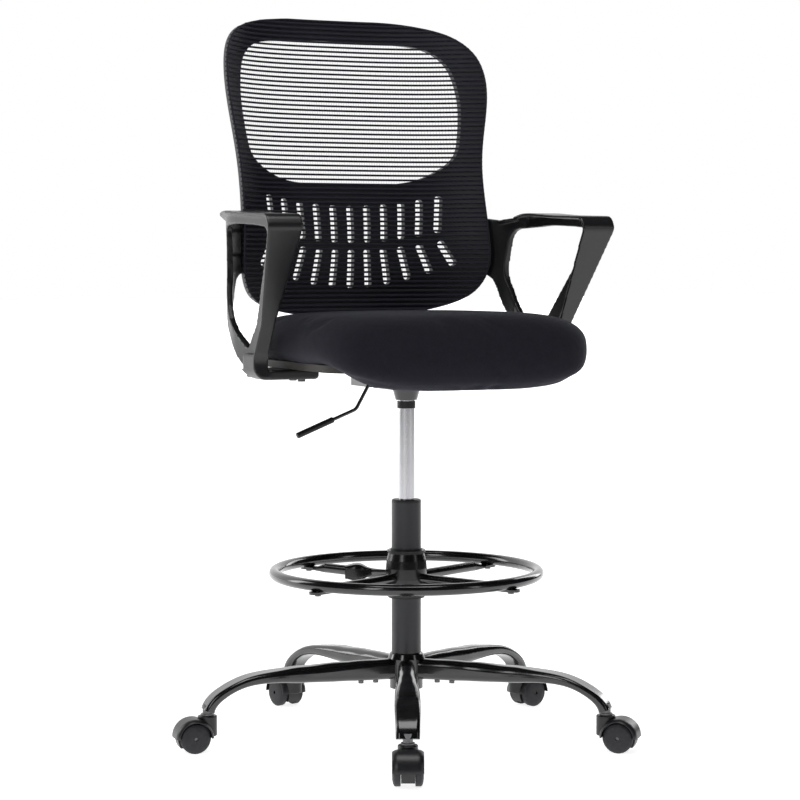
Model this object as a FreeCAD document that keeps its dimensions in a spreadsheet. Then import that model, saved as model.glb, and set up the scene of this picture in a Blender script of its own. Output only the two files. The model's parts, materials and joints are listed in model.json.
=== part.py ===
"""Drafting chair: five-arm base on twin-wheel casters, tall gas lift, sliding foot ring, seat, arms and mesh back.

Frame: millimetres, +Z up, floor at z = 0, the column's axis at x = y = 0.
The sitter faces -Y, so +X is the sitter's left.
"""
import FreeCAD, Part
import math
import os
import re

import Sketcher
from FreeCAD import Rotation, Vector

# Driving dimensions, in mm and degrees
DIMENSIONS = {
    # base
    "base_radius": 348.0,           # column axis to caster stem
    "base_first_angle": 245.4,      # world angle of leg 1
    "hub_radius": 28.0,
    "hub_bottom": 87.0,
    "hub_top": 146.0,
    "hub_collar_radius": 31.5,
    "leg_top": 137.5,
    "leg_bottom": 102.8,
    "leg_hub_width": 28.0,
    "leg_mid_width": 42.0,
    "leg_wall": 2.0,
    "leg_tip_width": 38.0,
    "screw_head_radius": 4.6,
    "screw_head_height": 4.5,
    # casters
    "wheel_radius": 25.0,
    "wheel_width": 13.5,
    "wheel_gap": 22.8,              # between the two wheels of a caster
    "caster_trail": 24.5,           # stem axis to axle
    "hood_inner_radius": 27.0,
    "hood_outer_radius": 32.0,
    "housing_radius": 16.0,         # of the fork's block around the stem
    "housing_top": 60.0,
    "stem_radius": 5.5,
    "axle_radius": 3.0,
    "socket_radius": 8.0,
    "socket_bottom": 60.5,
    "socket_top": 78.0,
    "running_gap": 0.05,            # radial clearance of every running fit
    # column
    "column_radius": 25.0,
    "column_wall": 2.0,
    "column_bottom": 92.0,
    "column_top": 404.0,
    "cap_height": 5.0,
    "guide_length": 44.0,
    "rod_radius": 5.0,
    "rod_bottom": 86.0,
    "piston_bottom": 331.0,
    "piston_height": 14.0,
    "cylinder_radius": 14.0,
    "cylinder_bore": 12.0,
    "cylinder_bottom": 260.0,
    "cylinder_top": 612.0,
    "valve_bottom": 575.0,
    "valve_pin_radius": 4.0,
    "valve_pin_top": 622.0,
    # foot ring
    "ring_radius": 224.0,
    "ring_tube_radius": 9.5,
    "ring_tube_wall": 1.5,
    "ring_level": 284.7,
    "ring_hub_bottom": 244.0,
    "ring_hub_top": 323.0,
    "liner_radius": 27.0,
    "ring_hub_radius": 35.0,
    "spoke_radius": 8.5,
    "spoke_level": 276.0,
    "spoke_first_angle": 25.0,
    "knob_angle": 155.0,
    "knob_inner": 59.0,
    "knob_length": 45.0,
    "knob_width": 30.0,
    "knob_height": 24.0,
    # seat
    "plate_bottom": 600.0,
    "board_bottom": 635.0,
    "board_thickness": 12.0,
    "board_half_width": 222.0,
    "board_front": 222.0,
    "board_rear": 145.0,
    "board_corner": 70.0,
    "seat_half_width": 250.0,
    "seat_front": 292.0,
    "seat_rear": 175.0,
    "lever_radius": 3.0,
    "grip_radius": 5.0,
    # arms
    "arm_outer": 313.0,
    "arm_inner": 253.0,
    "arm_skin": 5.0,
    "arm_wall": 10.0,
    "foot_inner": 172.0,
    "foot_bottom": 618.0,
    # back
    "back_thickness": 14.0,
    "back_mesh_thickness": 1.2,
    "back_mesh_gap": 0.3,
    "slot_pitch": 32.2,
    "slot_width": 13.0,
}

doc = FreeCAD.newDocument("drafting_chair")
sheet = doc.addObject("Spreadsheet::Sheet", "Sheet")
for row, (alias, number) in enumerate(DIMENSIONS.items(), start=1):
    sheet.set(f"A{row}", alias)
    sheet.set(f"B{row}", str(number))
    sheet.setAlias(f"B{row}", alias)
doc.recompute()

NODES = {}
ALIAS = re.compile(r"[a-z]\w*")
X_AXIS = Vector(1, 0, 0)
Y_AXIS = Vector(0, 1, 0)
Z_AXIS = Vector(0, 0, 1)


def size(alias):
    """A driving dimension, read from the sheet."""
    return float(sheet.get(alias))


def bound(expression):
    """An expression in aliases, written the way setExpression wants it."""
    return ALIAS.sub(lambda word: "Sheet." + word.group(0), expression)


def node(label, obj):
    """Keep an object as one of the chair's sub-parts."""
    obj.Label = label
    NODES[label] = obj
    return obj


def feature(label, shape, angle=0.0):
    """A sub-part with a computed shape, turned about the column's axis."""
    obj = doc.addObject("Part::Feature", label)
    obj.Shape = shape
    obj.Placement = FreeCAD.Placement(Vector(), Rotation(Z_AXIS, angle))
    return node(label, obj)


def turned(name, profile, placement=None):
    """A body turned about its own Z axis from (radius, height) corners given as expressions."""
    body = doc.addObject("PartDesign::Body", name)
    plane = [item for item in body.Origin.OriginFeatures if item.Role == "XZ_Plane"][0]
    sketch = body.newObject("Sketcher::SketchObject", name + "_profile")
    sketch.AttachmentSupport = [(plane, "")]
    sketch.MapMode = "FlatFace"
    count = len(profile)
    for index in range(count):
        turn = 2 * math.pi * index / count
        after = 2 * math.pi * (index + 1) / count
        start = Vector(20 + 10 * math.cos(turn), 20 + 10 * math.sin(turn), 0)
        end = Vector(20 + 10 * math.cos(after), 20 + 10 * math.sin(after), 0)
        sketch.addGeometry(Part.LineSegment(start, end), False)
    for index in range(count):
        sketch.addConstraint(Sketcher.Constraint("Coincident", index, 2, (index + 1) % count, 1))
    for index, (radius, height) in enumerate(profile):
        for kind, expression in (("DistanceX", radius), ("DistanceY", height)):
            number = sketch.addConstraint(Sketcher.Constraint(kind, -1, 1, index, 1, 20.0))
            sketch.setExpression(f"Constraints[{number}]", bound(expression))
    revolution = body.newObject("PartDesign::Revolution", name + "_turning")
    revolution.Profile = sketch
    revolution.ReferenceAxis = (sketch, ["V_Axis"])
    revolution.Angle = 360.0
    if placement is not None:
        body.Placement = placement
    return body


def cylinder(name, radius, length, base, axis=Z_AXIS):
    """A Part cylinder whose radius and length are expressions."""
    obj = doc.addObject("Part::Cylinder", name)
    obj.setExpression("Radius", bound(radius))
    obj.setExpression("Height", bound(length))
    obj.Placement = FreeCAD.Placement(base, Rotation(Z_AXIS, axis))
    return obj


def fused(name, objects):
    """A Part union."""
    obj = doc.addObject("Part::MultiFuse", name)
    obj.Shapes = objects
    return obj


def cut(name, base, tool):
    """A Part difference."""
    obj = doc.addObject("Part::Cut", name)
    obj.Base = base
    obj.Tool = tool
    return obj


def polar(radius, angle, height=0.0):
    """A point from a radius and a world angle in degrees."""
    turn = math.radians(angle)
    return Vector(radius * math.cos(turn), radius * math.sin(turn), height)


def solid_cylinder(radius, length, base, axis=Z_AXIS):
    return Part.makeCylinder(radius, length, base, axis)


def joined(shapes):
    """One solid from several that overlap."""
    return shapes[0].multiFuse(shapes[1:]).removeSplitter()


def rounded_wire(corners, radii):
    """A closed wire of straight sides with a tangent arc at each corner of non-zero radius."""
    count = len(corners)
    ends = []
    arcs = []
    for index in range(count):
        corner = corners[index]
        before = (corners[index - 1] - corner).normalize()
        after = (corners[(index + 1) % count] - corner).normalize()
        half = before.getAngle(after) / 2
        reach = radii[index] / math.tan(half)
        if radii[index] == 0:
            ends.append((corner, corner))
            arcs.append(None)
            continue
        bisector = (before + after).normalize()
        middle = corner + bisector * (radii[index] / math.sin(half) - radii[index])
        start = corner + before * reach
        end = corner + after * reach
        ends.append((start, end))
        arcs.append(Part.Arc(start, middle, end).toShape())
    edges = []
    for index in range(count):
        if arcs[index] is not None:
            edges.append(arcs[index])
        start = ends[index][1]
        end = ends[(index + 1) % count][0]
        if start.distanceToPoint(end) > 1e-6:
            edges.append(Part.makeLine(start, end))
    return Part.Wire(edges)


def smooth_wire(points):
    """A closed wire of one periodic curve through the points."""
    curve = Part.BSplineCurve()
    curve.interpolate(points, PeriodicFlag=True)
    return Part.Wire([curve.toShape()])


def section(centre, across, up, width, height, radius):
    """A rounded rectangle in the plane of two unit directions."""
    corners = []
    for side, rise in ((-1, -1), (1, -1), (1, 1), (-1, 1)):
        corners.append(centre + across * (side * width / 2) + up * (rise * height / 2))
    return rounded_wire(corners, [radius] * 4)


# ---------------------------------------------------------------- base

LEG_COUNT = 5
LEG_ANGLES = [size("base_first_angle") + 72.0 * index for index in range(LEG_COUNT)]
LEG_SCREW_RADII = (55.0, 81.0)


def between_knots(knots, radius):
    """The leg's depth and width at a radius, between the knots on either side."""
    for low, high in zip(knots, knots[1:]):
        if radius <= high[0]:
            share = (radius - low[0]) / (high[0] - low[0])
            share = share * share * (3 - 2 * share)
            return low[2] + (high[2] - low[2]) * share, low[3] + (high[3] - low[3]) * share
    return knots[-1][2], knots[-1][3]


def leg_shape():
    """One leg along +X: a tube pressed flatter and wider as it bends down to the caster."""
    reach = size("base_radius")
    top = size("leg_top")
    bottom = size("leg_bottom")
    hub_width = size("leg_hub_width")
    mid_width = size("leg_mid_width")
    tip_width = size("leg_tip_width")
    level = (top + bottom) / 2
    height = top - bottom
    # radius and height of the centre line, the leg's depth and its width
    knots = [
        (20.0, level, height, hub_width),
        (70.0, level, height, hub_width),
        (125.0, level, height - 2.0, hub_width + 3),
        (180.0, level - 0.6, height - 7.0, hub_width + 8),
        (reach - 101.0, level - 1.6, height - 16.0, mid_width - 1),
        (reach - 61.0, level - 8.0, height - 20.0, mid_width),
        (reach - 31.0, level - 21.0, height - 20.5, mid_width - 1),
        (reach - 9.0, level - 38.0, height - 19.0, tip_width + 1),
        (reach - 1.0, level - 52.5, height - 17.0, tip_width),
    ]
    centre_line = Part.BSplineCurve()
    centre_line.interpolate([Vector(radius, 0, z) for radius, z, depth, width in knots])
    outside = []
    inside = []
    wall = size("leg_wall")
    station_count = 15
    for index in range(station_count):
        share = index / (station_count - 1)
        along = centre_line.parameterAtDistance(centre_line.length() * share)
        middle = centre_line.value(along)
        forward = centre_line.tangent(along)[0]
        depth, width = between_knots(knots, middle.x)
        up = Y_AXIS.cross(forward) * -1
        corner = 0.42 * min(depth, width)
        outside.append(section(middle, Y_AXIS, up, width, depth, corner))
        # the bore stops short of the tip, which is closed
        if index < station_count - 1:
            inside.append(section(middle, Y_AXIS, up, width - 2 * wall, depth - 2 * wall, corner - wall))
    leg = Part.makeLoft(outside, True, False).cut(Part.makeLoft(inside, True, False))
    hub = solid_cylinder(size("hub_radius"), size("hub_top"), Vector())
    socket = solid_cylinder(size("socket_radius"), size("socket_top"), Vector(reach, 0, 0))
    for radius in LEG_SCREW_RADII:
        leg = leg.cut(solid_cylinder(2.5, 10.0, Vector(radius, 0, bottom - 5.0)))
    return leg.cut(hub).cut(socket)


def make_base():
    hub = turned("hub_sleeve", [
        ("column_radius", "hub_bottom"),
        ("hub_radius", "hub_bottom"),
        ("hub_radius", "hub_top"),
        ("column_radius + 1", "hub_top + 2"),
        ("column_radius", "hub_top + 2"),
    ])
    collar = turned("hub_collar", [
        ("hub_radius - 1", "leg_top + 1"),
        ("hub_collar_radius", "leg_top + 0.5"),
        ("hub_radius + 0.5", "hub_top"),
        ("hub_radius - 1", "hub_top"),
    ])
    node("base_hub", fused("hub", [hub, collar]))

    leg = leg_shape()
    for index, angle in enumerate(LEG_ANGLES, start=1):
        feature(f"base_arm_{index}", leg, angle)

    head_radius = size("screw_head_radius")
    head_height = size("screw_head_height")
    bottom = size("leg_bottom")
    screws = []
    sockets = []
    for angle in LEG_ANGLES:
        for radius in LEG_SCREW_RADII:
            foot = polar(radius, angle, bottom - head_height)
            head = solid_cylinder(head_radius, head_height, foot)
            shank = solid_cylinder(2.5, 14.0, foot)
            screws.append(head.fuse(shank).removeSplitter())
        low = size("socket_bottom")
        at = polar(size("base_radius"), angle, low)
        sleeve = solid_cylinder(size("socket_radius"), size("socket_top") - low, at)
        rim = solid_cylinder(size("socket_radius") + 3.0, 2.5, at)
        bore = solid_cylinder(size("stem_radius") + size("running_gap"), 30.0, at - Z_AXIS)
        sockets.append(sleeve.fuse(rim).cut(bore).removeSplitter())
    feature("arm_screws", Part.makeCompound(screws))
    feature("caster_sockets", Part.makeCompound(sockets))


# ---------------------------------------------------------------- casters

# where each caster trails, as a world angle: most point outwards, the third is turned aside
CASTER_ANGLES = [LEG_ANGLES[0], LEG_ANGLES[1], 14.0, LEG_ANGLES[3], LEG_ANGLES[4]]


def hood_shape(inner, outer, width, axle):
    """The hood: a barrel-shaped shell over the upper half of both wheels."""
    half = width / 2
    flat = half - 11.0
    drop = 4.0

    def at(side, radius):
        return axle + Vector(radius, side, 0)
    edges = [
        Part.makeLine(at(-half, inner), at(half, inner)),
        Part.makeLine(at(half, inner), at(half, outer - drop)),
        Part.Arc(at(half, outer - drop), at(half - 4.5, outer - 1.2), at(flat, outer)).toShape(),
        Part.makeLine(at(flat, outer), at(-flat, outer)),
        Part.Arc(at(-flat, outer), at(4.5 - half, outer - 1.2), at(-half, outer - drop)).toShape(),
        Part.makeLine(at(-half, outer - drop), at(-half, inner)),
    ]
    return Part.Face(Part.Wire(edges)).revolve(axle, Y_AXIS * -1, 180.0)


def caster_body_shape():
    """The fork of a caster: hood over both wheels, the web between them and the block round the stem."""
    axle = Vector(size("caster_trail"), 0, size("wheel_radius"))
    inner = size("hood_inner_radius")
    outer = size("hood_outer_radius")
    width = 2 * size("wheel_width") + size("wheel_gap")
    top = size("housing_top")
    web_width = size("wheel_gap") - 1.2
    hood = hood_shape(inner, outer, width, axle)
    web = Part.makeCylinder(inner + 1.0, web_width, axle - Y_AXIS * web_width / 2, Y_AXIS)
    web = web.cut(Part.makeBox(200, 200, 109.0, Vector(-100, -100, -100)))
    block = solid_cylinder(size("housing_radius"), top - 26.0, Vector(0, 0, 26.0))
    rims = [edge for edge in block.Edges if edge.Closed]
    block = block.makeFillet(2.0, rims)
    wheel_space = Part.makeCylinder(inner, 80.0, axle - Y_AXIS * 40.0, Y_AXIS)
    middle = Part.makeBox(200.0, web_width, 200.0, Vector(-100.0, -web_width / 2, 0))
    block = block.cut(wheel_space.cut(middle))
    body = joined([hood, web, block])
    body = body.cut(solid_cylinder(size("stem_radius"), 40.0, Vector(0, 0, 30.0)))
    pin = Part.makeCylinder(size("axle_radius"), 60.0, axle - Y_AXIS * 30.0, Y_AXIS)
    return body.cut(pin)


def make_casters():
    body_shape = caster_body_shape()
    radius = size("stem_radius")
    stem_top = size("socket_top") - 2.0
    stem = solid_cylinder(radius, stem_top - 30.0, Vector(0, 0, 30.0))
    axle_length = 2 * size("wheel_width") + size("wheel_gap") - 6.0
    axle_at = Vector(size("caster_trail"), -axle_length / 2, size("wheel_radius"))
    axle = Part.makeCylinder(size("axle_radius"), axle_length, axle_at, Y_AXIS)
    axle = axle.cut(stem)
    pins = Part.makeCompound([stem, axle])
    for index, (leg_angle, trail_angle) in enumerate(zip(LEG_ANGLES, CASTER_ANGLES), start=1):
        stem_at = polar(size("base_radius"), leg_angle)
        place = FreeCAD.Placement(stem_at, Rotation(Z_AXIS, trail_angle))
        feature(f"caster_{index}_body", body_shape).Placement = place
        feature(f"caster_{index}_pins", pins).Placement = place
        for side, name in ((1, "l"), (-1, "r")):
            centre = Vector(size("caster_trail"), side * size("wheel_gap") / 2, size("wheel_radius"))
            turn = Rotation(X_AXIS, -90.0 * side)
            local = FreeCAD.Placement(centre, turn)
            wheel = turned(f"wheel_{index}_{name}", [
                ("axle_radius + running_gap", "0.001"),
                ("wheel_radius - 1", "0.001"),
                ("wheel_radius", "1"),
                ("wheel_radius", "wheel_width - 5"),
                ("wheel_radius - 1.4", "wheel_width - 3"),
                ("wheel_radius - 5", "wheel_width - 1.3"),
                ("wheel_radius - 11", "wheel_width - 0.3"),
                ("axle_radius + 4", "wheel_width"),
                ("axle_radius + running_gap", "wheel_width"),
            ], place.multiply(local))
            node(f"caster_{index}_wheel_{name}", wheel)


# ---------------------------------------------------------------- column

def make_column():
    tube = turned("column_turned", [
        ("rod_radius + running_gap", "column_bottom"),
        ("column_radius", "column_bottom"),
        ("column_radius", "column_top"),
        ("column_radius - column_wall", "column_top"),
        ("column_radius - column_wall", "column_bottom + 8"),
        ("rod_radius + running_gap", "column_bottom + 8"),
    ])
    node("column_tube", tube)
    bush = turned("bush_turned", [
        ("cylinder_radius + running_gap", "column_top - guide_length"),
        ("column_radius - column_wall", "column_top - guide_length"),
        ("column_radius - column_wall", "column_top"),
        ("column_radius", "column_top"),
        ("column_radius", "column_top + cap_height - 1.5"),
        ("column_radius - 1.5", "column_top + cap_height"),
        ("cylinder_radius + running_gap", "column_top + cap_height"),
    ])
    node("guide_bush", bush)
    bearing = turned("bearing_turned", [
        ("rod_radius + 1", "column_bottom + 8"),
        ("rod_radius + 8", "column_bottom + 8"),
        ("rod_radius + 8", "column_bottom + 14"),
        ("rod_radius + 1", "column_bottom + 14"),
    ])
    node("thrust_bearing", bearing)

    shaft = cylinder("rod_shaft", "rod_radius", "piston_bottom - rod_bottom", Vector(0, 0, size("rod_bottom")))
    shoulder = turned("rod_shoulder", [
        ("rod_radius - 1", "column_bottom + 14.1"),
        ("rod_radius + 6", "column_bottom + 14.1"),
        ("rod_radius + 6", "column_bottom + 17"),
        ("rod_radius - 1", "column_bottom + 17"),
    ])
    groove = turned("clip_groove", [
        ("rod_radius - 1", "column_bottom - 2.6"),
        ("rod_radius + 2", "column_bottom - 2.6"),
        ("rod_radius + 2", "column_bottom - 1"),
        ("rod_radius - 1", "column_bottom - 1"),
    ])
    node("piston_rod", cut("rod", fused("rod_blank", [shaft, shoulder]), groove))
    clip = turned("clip_turned", [
        ("rod_radius - 1", "column_bottom - 2.5"),
        ("rod_radius + 4", "column_bottom - 2.5"),
        ("rod_radius + 4", "column_bottom - 1.1"),
        ("rod_radius - 1", "column_bottom - 1.1"),
    ])
    node("column_clip", clip)
    node("piston", cylinder("piston_disc", "cylinder_bore - running_gap", "piston_height",
                            Vector(0, 0, size("piston_bottom"))))

    pressure_tube = turned("cylinder_turned", [
        ("rod_radius + running_gap", "cylinder_bottom"),
        ("cylinder_radius - 1", "cylinder_bottom"),
        ("cylinder_radius", "cylinder_bottom + 1"),
        ("cylinder_radius", "cylinder_top"),
        ("valve_pin_radius + running_gap", "cylinder_top"),
        ("valve_pin_radius + running_gap", "valve_bottom"),
        ("cylinder_bore", "valve_bottom"),
        ("cylinder_bore", "cylinder_bottom + 12"),
        ("rod_radius + running_gap", "cylinder_bottom + 12"),
    ])
    node("gas_cylinder", pressure_tube)
    collar = turned("collar_turned", [
        ("cylinder_radius", "plate_bottom - 36"),
        ("cylinder_radius + 1.5", "plate_bottom - 36"),
        ("cylinder_radius + 1.5", "plate_bottom - 24"),
        ("cylinder_radius", "plate_bottom - 24"),
    ])
    node("cylinder_collar", collar)
    node("valve_pin", cylinder("pin_rod", "valve_pin_radius", "valve_pin_top - valve_bottom - 5",
                               Vector(0, 0, size("valve_bottom") + 5)))


# ---------------------------------------------------------------- foot ring

SPOKE_COUNT = 4


def spoke_shape():
    """One spoke along +X: a tube pressed into a flat tab where it meets the hoop's underside."""
    level = size("spoke_level")
    radius = size("spoke_radius")
    ring = size("ring_radius")
    underside = size("ring_level") - size("ring_tube_radius")
    tab = 4.0
    tube_end = ring - 42.0
    tab_start = ring - 20.0
    start = size("ring_hub_radius") - 5.0
    tube = solid_cylinder(radius, tube_end - start, Vector(start, 0, level), X_AXIS)
    half = radius * 0.999
    round_end = section(Vector(tube_end, 0, level), Y_AXIS, Z_AXIS, 2 * half, 2 * half, 0.98 * half)
    flat_end = section(Vector(tab_start, 0, underside - tab / 2), Y_AXIS, Z_AXIS, 24.0, tab, 0.48 * tab)
    press = Part.makeLoft([round_end, flat_end], True, True)
    plate = Part.makeBox(ring + 4.0 - tab_start, 24.0, tab, Vector(tab_start, -12.0, underside - tab))
    tip = solid_cylinder(12.0, tab, Vector(ring + 4.0, 0, underside - tab))
    spoke = joined([tube, press, plate, tip])
    return spoke.cut(solid_cylinder(radius - 1.5, tube_end - start, Vector(start, 0, level), X_AXIS))


def make_foot_ring():
    liner = turned("liner_turned", [
        ("column_radius + running_gap", "ring_hub_bottom - 2"),
        ("liner_radius + 4", "ring_hub_bottom - 2"),
        ("liner_radius + 4", "ring_hub_bottom - 0.1"),
        ("liner_radius", "ring_hub_bottom - 0.1"),
        ("liner_radius", "ring_hub_top + 2"),
        ("column_radius + running_gap", "ring_hub_top + 2"),
    ])
    node("ring_liner", liner)

    blank = turned("ring_hub_turned", [
        ("liner_radius + running_gap", "ring_hub_bottom"),
        ("ring_hub_radius - 2.5", "ring_hub_bottom"),
        ("ring_hub_radius - 2.5", "ring_hub_bottom + 5"),
        ("ring_hub_radius - 4.5", "ring_hub_bottom + 7"),
        ("ring_hub_radius - 2", "ring_hub_bottom + 18"),
        ("ring_hub_radius", "ring_hub_bottom + 30"),
        ("ring_hub_radius", "ring_hub_bottom + 48"),
        ("ring_hub_radius - 1.5", "ring_hub_bottom + 62"),
        ("ring_hub_radius - 4.5", "ring_hub_top - 6"),
        ("ring_hub_radius - 4.5", "ring_hub_top - 3"),
        ("ring_hub_radius - 2.5", "ring_hub_top - 3"),
        ("ring_hub_radius - 2.5", "ring_hub_top"),
        ("liner_radius + running_gap", "ring_hub_top"),
    ])
    level = size("ring_level")
    spoke = spoke_shape()
    doc.recompute()
    hub = blank.Shape
    liner_radius = size("liner_radius")
    screw_axis = polar(1.0, size("knob_angle"))
    screw_start = polar(liner_radius + 0.1, size("knob_angle"), level)
    screw_length = size("knob_inner") + 12.0 - liner_radius
    thread = solid_cylinder(4.0 + size("running_gap"), 40.0, screw_start, screw_axis)
    hub = hub.cut(thread)
    angles = [size("spoke_first_angle") + 90.0 * index for index in range(SPOKE_COUNT)]
    spokes = []
    screws = []
    underside = level - size("ring_tube_radius")
    for angle in angles:
        arm = spoke.copy()
        arm.rotate(Vector(), Z_AXIS, angle)
        spokes.append(arm.cut(blank.Shape))
        foot = polar(size("ring_radius"), angle, underside - 4.0 - 3.5)
        head = solid_cylinder(5.0, 3.5, foot)
        shank = solid_cylinder(2.5, 14.0, foot)
        screws.append(head.fuse(shank).removeSplitter())
    feature("ring_hub", hub)

    outer = doc.addObject("Part::Torus", "hoop_outer")
    outer.setExpression("Radius1", bound("ring_radius"))
    outer.setExpression("Radius2", bound("ring_tube_radius"))
    inner = doc.addObject("Part::Torus", "hoop_inner")
    inner.setExpression("Radius1", bound("ring_radius"))
    inner.setExpression("Radius2", bound("ring_tube_radius - ring_tube_wall"))
    for torus in (outer, inner):
        torus.setExpression(".Placement.Base.z", bound("ring_level"))
    all_screws = feature("spoke_screws", Part.makeCompound(screws))
    node("ring_hoop", cut("hoop", cut("hoop_tube", outer, inner), all_screws))
    feature("ring_spokes", Part.makeCompound([arm.cut(all_screws.Shape) for arm in spokes]))

    screw = solid_cylinder(4.0, screw_length, screw_start, screw_axis)
    feature("clamp_screw", screw)
    length = size("knob_length")
    width = size("knob_width")
    height = size("knob_height")
    start = Vector(size("knob_inner"), 0, level)
    wires = []
    for share, scale in ((0.0, 0.55), (0.12, 0.62), (0.3, 0.95), (0.85, 1.0), (1.0, 0.9)):
        centre = start + X_AXIS * (length * share)
        wires.append(section(centre, Y_AXIS, Z_AXIS, width * scale, height * scale, 6.0 * scale))
    knob = Part.makeLoft(wires, True, False)
    knob.rotate(Vector(), Z_AXIS, size("knob_angle"))
    feature("clamp_knob", knob.cut(screw))


# ---------------------------------------------------------------- seat

PLATE_BOLTS = [(x, y) for x in (-78.0, 78.0) for y in (-60.0, 60.0)]
ARM_BOLT_X = 196.0
ARM_BOLT_YS = (-10.0, 27.0, 64.0)


def bolt(base, axis, shank_length, head_radius=6.5, head_height=4.5, shank_radius=3.0):
    """A bolt whose head starts at base and whose shank runs along axis."""
    head = solid_cylinder(head_radius, head_height, base, axis)
    shank = solid_cylinder(shank_radius, head_height + shank_length, base, axis)
    return head.fuse(shank).removeSplitter()


def seat_section(station, low, high, half_width):
    """A rounded cross-section of the cushion in a plane of constant y."""
    middle = (low + high) / 2
    half_height = (high - low) / 2
    points = []
    count = 28
    power = 2.0 / 3.4
    for index in range(count):
        turn = 2 * math.pi * (index + 0.5) / count
        across = math.copysign(abs(math.cos(turn)) ** power, math.cos(turn))
        rise = math.copysign(abs(math.sin(turn)) ** power, math.sin(turn))
        points.append(Vector(half_width * across, station, middle + half_height * rise))
    return smooth_wire(points)


def cushion_shape():
    """The cushion: wide and flat, with a thick rolled front that falls away under the knees."""
    front = size("seat_front")
    rear = size("seat_rear")
    base = size("board_bottom")
    # station as y, underside and top above the board's underside, share of the full width
    stations = [
        (-front, 2.0, 32.0, 0.50),
        (-front + 5, -14.0, 50.0, 0.62),
        (-front + 14, -24.0, 64.0, 0.735),
        (-front + 34, -28.0, 77.0, 0.845),
        (-front + 64, -22.0, 85.0, 0.92),
        (-190.0, -9.0, 88.0, 0.965),
        (-140.0, -1.0, 89.5, 0.99),
        (-80.0, 0.0, 89.5, 1.0),
        (0.0, 0.0, 89.0, 0.998),
        (80.0, 0.0, 87.5, 0.985),
        (rear - 42, 1.0, 84.0, 0.94),
        (rear - 16, 5.0, 78.0, 0.84),
        (rear - 5, 13.0, 68.0, 0.74),
        (rear, 24.0, 56.0, 0.64),
    ]
    wires = [seat_section(y, base + low, base + high, size("seat_half_width") * share)
             for y, low, high, share in stations]
    return Part.makeLoft(wires, True, False)


def make_seat():
    base = size("board_bottom")
    half = size("board_half_width")
    corners = [Vector(-half, -size("board_front"), base), Vector(half, -size("board_front"), base),
               Vector(half, size("board_rear"), base), Vector(-half, size("board_rear"), base)]
    outline = Part.Face(rounded_wire(corners, [size("board_corner")] * 4))
    board = outline.extrude(Z_AXIS * size("board_thickness"))
    plate_bolts = [bolt(Vector(x, y, base - 2.5 - 4.5), Z_AXIS, 12.0) for x, y in PLATE_BOLTS]
    for item in plate_bolts:
        board = board.cut(item)
    arm_bolts = []
    for side in (-1, 1):
        for y in ARM_BOLT_YS:
            at = Vector(side * ARM_BOLT_X, y, size("foot_bottom") - 4.5)
            arm_bolts.append(bolt(at, Z_AXIS, 26.0))
    for item in arm_bolts:
        board = board.cut(item)
    feature("plate_bolts", Part.makeCompound(plate_bolts))
    feature("arm_bolts", Part.makeCompound(arm_bolts))
    feature("seat_board", board)
    hollow = outline.copy()
    hollow.translate(Vector(0, 0, -40.0))
    hollow = hollow.extrude(Z_AXIS * (40.0 + size("board_thickness")))
    keep = Part.makeBox(600, 400, 60, Vector(-300, -180, base - 60))
    cushion = cushion_shape().cut(outline.extrude(Z_AXIS * size("board_thickness")))
    cushion = cushion.cut(hollow.common(keep))
    feature("seat_cushion", cushion)

    low = size("plate_bottom")
    wall = 2.5
    outer = Part.makeBox(130.0, 170.0, base - low, Vector(-65.0, -85.0, low))
    inner = Part.makeBox(130.0 - 2 * wall, 180.0, base - low, Vector(-65.0 + wall, -90.0, low + wall))
    flange = Part.makeBox(190.0, 170.0, wall, Vector(-95.0, -85.0, base - wall))
    hat = joined([outer, flange]).cut(inner)
    bell = Part.makeCone(24.5, 18.5, 22.0, Vector(0, 0, low), Vector(0, 0, -1))
    tube = solid_cylinder(18.0, 14.0, Vector(0, 0, low))
    plate = joined([hat, bell, tube])
    plate = plate.cut(solid_cylinder(size("cylinder_radius"), 60.0, Vector(0, 0, low - 30.0)))
    slot = Part.makeBox(12.0, 16.0, 60.0, Vector(-70.0, -8.0, low - 1.0))
    plate = plate.cut(slot)
    for item in plate_bolts:
        plate = plate.cut(item)
    feature("seat_plate", plate)


def make_lever():
    """The height lever: a bent rod from above the valve pin out to the sitter's right."""
    radius = size("lever_radius")
    high = size("valve_pin_top") + radius + 0.4
    route = [Vector(7.0, 0, high), Vector(-46.0, 0, high), Vector(-71.0, 0, 603.0),
             Vector(-93.0, 0, 564.5), Vector(-200.0, 0, 522.8)]
    bends = [0, 14.0, 10.0, 14.0, 0]
    edges = []
    start = route[0]
    for index in range(1, len(route) - 1):
        corner = route[index]
        before = (route[index - 1] - corner).normalize()
        after = (route[index + 1] - corner).normalize()
        half = before.getAngle(after) / 2
        reach = bends[index] / math.tan(half)
        bisector = (before + after).normalize()
        middle = corner + bisector * (bends[index] / math.sin(half) - bends[index])
        edges.append(Part.makeLine(start, corner + before * reach))
        edges.append(Part.Arc(corner + before * reach, middle, corner + after * reach).toShape())
        start = corner + after * reach
    along = (route[-1] - route[-2]).normalize()
    grip_length = 70.0
    grip_start = route[-1] - along * grip_length
    edges.append(Part.makeLine(start, route[-1] - along * 6.0))
    path = Part.Wire(edges)
    profile = Part.Wire([Part.makeCircle(radius, route[0], Vector(-1, 0, 0))])
    rod = path.makePipeShell([profile], True, False)
    feature("lever_rod", rod)
    grip = solid_cylinder(size("grip_radius"), grip_length, grip_start, along)
    grip = grip.makeFillet(1.5, [edge for edge in grip.Edges if edge.Closed])
    feature("lever_grip", grip.cut(rod))


# ---------------------------------------------------------------- arms

def yz(points):
    return [Vector(0, y, z) for y, z in points]


def xz(points):
    return [Vector(x, 0, z) for x, z in points]


def xy(points):
    return [Vector(x, y, 0) for x, y in points]


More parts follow.
